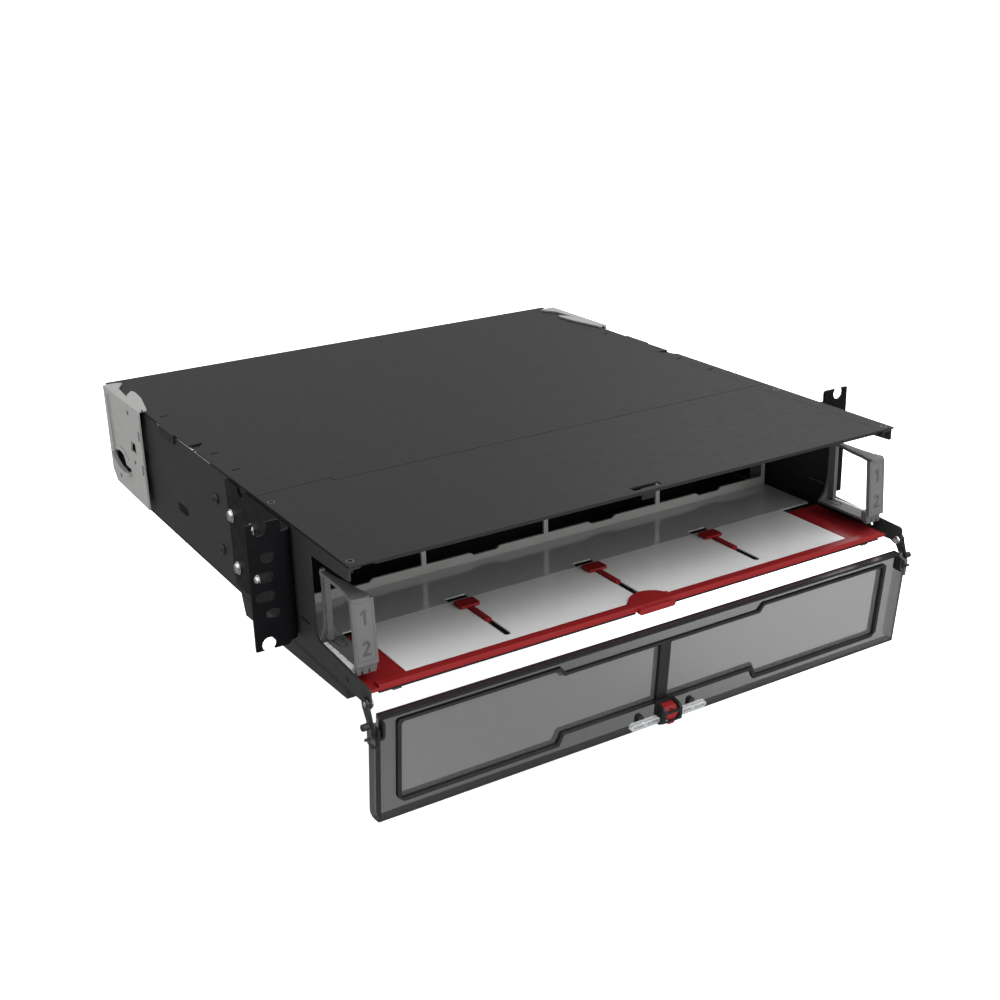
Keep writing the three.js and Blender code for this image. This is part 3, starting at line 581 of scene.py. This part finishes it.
def cable_managers():
    outlines = {"1": outline_one(), "2": outline_two()}
    for side in ("left", "right"):
        node = "cable_manager_" + side
        dress(node, MANAGER_EDGE, segments=3)
        low, high = box_mm(node)
        centre = low[0] + FACE_INSET if side == "left" else high[0] - FACE_INSET
        manager_border("manager_border_" + side, on_face(low, high[2], centre, FACE_RISE / 2, 0))
        for text, height in NUMERAL_HEIGHTS.items():
            matrix = on_face(low, high[2], centre, height, NUMERAL_PROUD)
            numeral("manager_numeral_%s_%s" % (text, side), outlines[text], matrix)


# ---- bare sheet ends and folds along the covers -----------------------------------

COVER_SHEET = 1.2
SEAM_GAP = 0.02
SEAM_DEPTH = 1.1
SEAM_PROUD = 0.05
SEAM_RADIUS = 0.4
SEAM_SPANS = ((216, 246), (250.5, 281), (311, 326))  # back from the front cover's edge
FOLD_X = {"left": -193, "right": 200}
FOLD_FOOT, FOLD_CREST = 0.7, 0.45
FOLD_RISE = 0.1
FOLD_EDGE = 0.06
FOLD_BACK_END = 8
FOLD_FRONT_ENDS = {"front_cover": 14, "rear_cover": 8}


def cover_seams():
    """Unpainted sheet ends in the gap between each side wall and the rear cover."""
    wall_low, wall_high = box_mm("side_wall_left")
    bottom = wall_high[2] + SEAM_GAP
    top = box_mm("rear_cover")[1][2] - COVER_SHEET - SEAM_GAP
    front = box_mm("front_cover")[0][1]
    for sign, side in ((1, "left"), (-1, "right")):
        ends = (sign * (wall_low[0] - SEAM_PROUD), sign * (wall_low[0] + SEAM_DEPTH))
        for index, (near, far) in enumerate(SEAM_SPANS):
            outline = rounded(min(ends), max(ends), front + near, front + far, SEAM_RADIUS, 3)
            bm = bmesh.new()
            plate(bm, [outline], "XY", bottom, top)
            add_piece("bare_edge_%s_%d" % (side, index), bm, "steel", "chassis")


def cover_folds():
    """Shallow stiffening folds along both sides of the covers."""
    for cover, front_end in FOLD_FRONT_ENDS.items():
        low, high = box_mm(cover)
        for side, x in FOLD_X.items():
            foot, crest = high[2] - FOLD_RISE, high[2] + FOLD_RISE
            profile = [(x - FOLD_FOOT, foot), (x + FOLD_FOOT, foot), (x + FOLD_CREST, crest),
                       (x - FOLD_CREST, crest)]
            bm = bmesh.new()
            plate(bm, [profile], "XZ", low[1] + front_end, high[1] - FOLD_BACK_END)
            add_piece("%s_fold_%s" % (cover, side), bm, "cover_paint", "chassis",
                      bevel=FOLD_EDGE)


# ---- teeth along the tray's slots ----------------------------------------------------

TOOTH_PITCH = 1.6
TOOTH_HEIGHT = 0.3
TOOTH_RISE, TOOTH_FALL = 0.5, 1.1  # where its flat top starts and ends along the pitch
TEETH_ROOT = 2.38  # from the slot's middle
TEETH_BACK = 2.46
TEETH_FRONT_MARGIN = 8.5
TEETH_LATCH_GAP = 1.2
TEETH_TOP, TEETH_BOTTOM = 0.1, 1.0  # below the tray's face


def rack_teeth():
    """Fine white rack teeth along the slots that the tray latches slide in."""
    tray_low, tray_high = box_mm("tray_panel")
    for side in ("left", "centre", "right"):
        low, high = box_mm("tray_latch_" + side)
        middle = (low[0] + high[0]) / 2
        front, back = tray_low[1] + TEETH_FRONT_MARGIN, low[1] - TEETH_LATCH_GAP
        outline = []
        for tooth in range(int((back - front) / TOOTH_PITCH)):
            y = front + TOOTH_PITCH * tooth
            tip = middle - TEETH_ROOT + TOOTH_HEIGHT
            outline += [(middle - TEETH_ROOT, y), (tip, y + TOOTH_RISE), (tip, y + TOOTH_FALL)]
        outline += [(middle - TEETH_BACK, back), (middle - TEETH_BACK, front)]
        bm = bmesh.new()
        plate(bm, [outline], "XY", tray_high[2] - TEETH_BOTTOM, tray_high[2] - TEETH_TOP)
        add_piece("rack_teeth_" + side, bm, "white_plastic", "tray")


# ---- everything in place, then the other nodes get their materials ---------------------

ear_screws()
side_screws()
cover_screws()
cover_seams()
cover_folds()
rack_teeth()
cable_managers()

EDGE_WIDTH = 0.25
# Edge rounding of the nodes whose names start so, in millimetres.
EDGE_WIDTHS = {
    "front_cover": 0.3,
    "rear_cover": 0.3,
    "side_wall": 0.3,
    "rack_ear": 0.35,
    "tray_frame": 0.6,
    "tray_latch": 0.6,
    "door_panel": 0.5,
    "door_latch": 0.6,
    "latch_housing": 0.5,
    "latch_spring": 0.6,
    "window_frame": 0.4,
    "window_pane": 0.15,
}
DETAILED = ("ear_screw", "side_screw", "cover_screw", "cable_manager")
for name in sorted(nodes):
    if not name.startswith(DETAILED):
        widths = [width for start, width in EDGE_WIDTHS.items() if name.startswith(start)]
        dress(name, widths[0] if widths else EDGE_WIDTH)


# ---- floor, lights, camera ----------------------------------------------------------

GROUND_REACH = 40
GROUND_DROP = 0.09  # the box is held by its ears, clear of the floor
GROUND_GLOW = 0.75

low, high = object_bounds()
middle = (low + high) / 2
ground = bmesh.new()
corners = ((-1, -1), (1, -1), (1, 1), (-1, 1))
ground.faces.new([ground.verts.new((x * GROUND_REACH, y * GROUND_REACH, low.z - GROUND_DROP))
                  for x, y in corners])
ground_mesh = bpy.data.meshes.new("ground")
ground.to_mesh(ground_mesh)
ground.free()
floor = bpy.data.objects.new("ground", ground_mesh)
scene.collection.objects.link(floor)
floor_material = surface("studio_floor", (0.9, 0.9, 0.9), 0.9, specular=0.0, mottle=0.01,
                         mottle_scale=3, grain=0.0, peel=0.0)
floor_shader = floor_material.node_tree.nodes["Principled BSDF"]
floor_shader.inputs["Emission Color"].default_value = (1, 1, 1, 1)
floor_shader.inputs["Emission Strength"].default_value = GROUND_GLOW
ground_mesh.materials.append(floor_material)
floor.visible_glossy = False

# A sky that is dim at the horizon and bright overhead, and plain white to the camera.
HORIZON, OVERHEAD = 0.25, 1.7
world = bpy.data.worlds.new("studio")
scene.world = world
world.use_nodes = True
sky = world.node_tree
horizon = sky.nodes.new("ShaderNodeSeparateXYZ")
sky.links.new(sky.nodes.new("ShaderNodeTexCoord").outputs["Generated"], horizon.inputs["Vector"])
overhead = remap(sky, horizon.outputs["Z"], HORIZON, OVERHEAD, 0.1, 0.9)
seen = sky.nodes.new("ShaderNodeMix")
seen.inputs["B"].default_value = 1.0
sky.links.new(sky.nodes.new("ShaderNodeLightPath").outputs["Is Camera Ray"], seen.inputs["Factor"])
sky.links.new(overhead, seen.inputs["A"])
sky.links.new(seen.outputs["Result"], sky.nodes["Background"].inputs["Strength"])
sky.nodes["Background"].inputs["Color"].default_value = (1, 1, 1, 1)


def area_light(name, location, size, power):
    """A soft rectangular light aimed at the middle of the object, power in watts."""
    data = bpy.data.lights.new(name, "AREA")
    data.shape = "RECTANGLE"
    data.size, data.size_y = size
    data.energy = power
    lamp = bpy.data.objects.new(name, data)
    lamp.location = location
    aim = middle - lamp.location
    lamp.rotation_euler = aim.to_track_quat("-Z", "Y").to_euler()
    scene.collection.objects.link(lamp)


area_light("key", (0.9, -1.0, 2.1), (1.6, 1.2), 24)
area_light("rim", (1.6, 1.2, 1.6), (1.2, 1.2), 14)
area_light("front", (0.5, -2.4, 0.5), (1.8, 0.8), 27)

AZIMUTH, ELEVATION, ROLL = (math.radians(v) for v in (-30.92, 21.08, -1.66))
DISTANCE = 0.8374
LENS = 51.415
TARGET = Vector((-0.1117, -0.0792, 0.0982))
back = Vector((math.sin(AZIMUTH) * math.cos(ELEVATION), -math.cos(AZIMUTH) * math.cos(ELEVATION),
               math.sin(ELEVATION)))
right = Vector((math.cos(AZIMUTH), math.sin(AZIMUTH), 0))
up = back.cross(right)
level_right = right * math.cos(ROLL) + up * math.sin(ROLL)
level_up = up * math.cos(ROLL) - right * math.sin(ROLL)
camera_data = bpy.data.cameras.new("camera")
camera_data.sensor_width = 36
camera_data.lens = LENS
camera_data.clip_start = 0.01
camera_data.clip_end = 100
camera = bpy.data.objects.new("camera", camera_data)
turn = Matrix((level_right, level_up, back)).transposed().to_4x4()
camera.matrix_world = Matrix.Translation(TARGET + back * DISTANCE) @ turn
scene.collection.objects.link(camera)
scene.camera = camera
scene.view_settings.view_transform = "Standard"
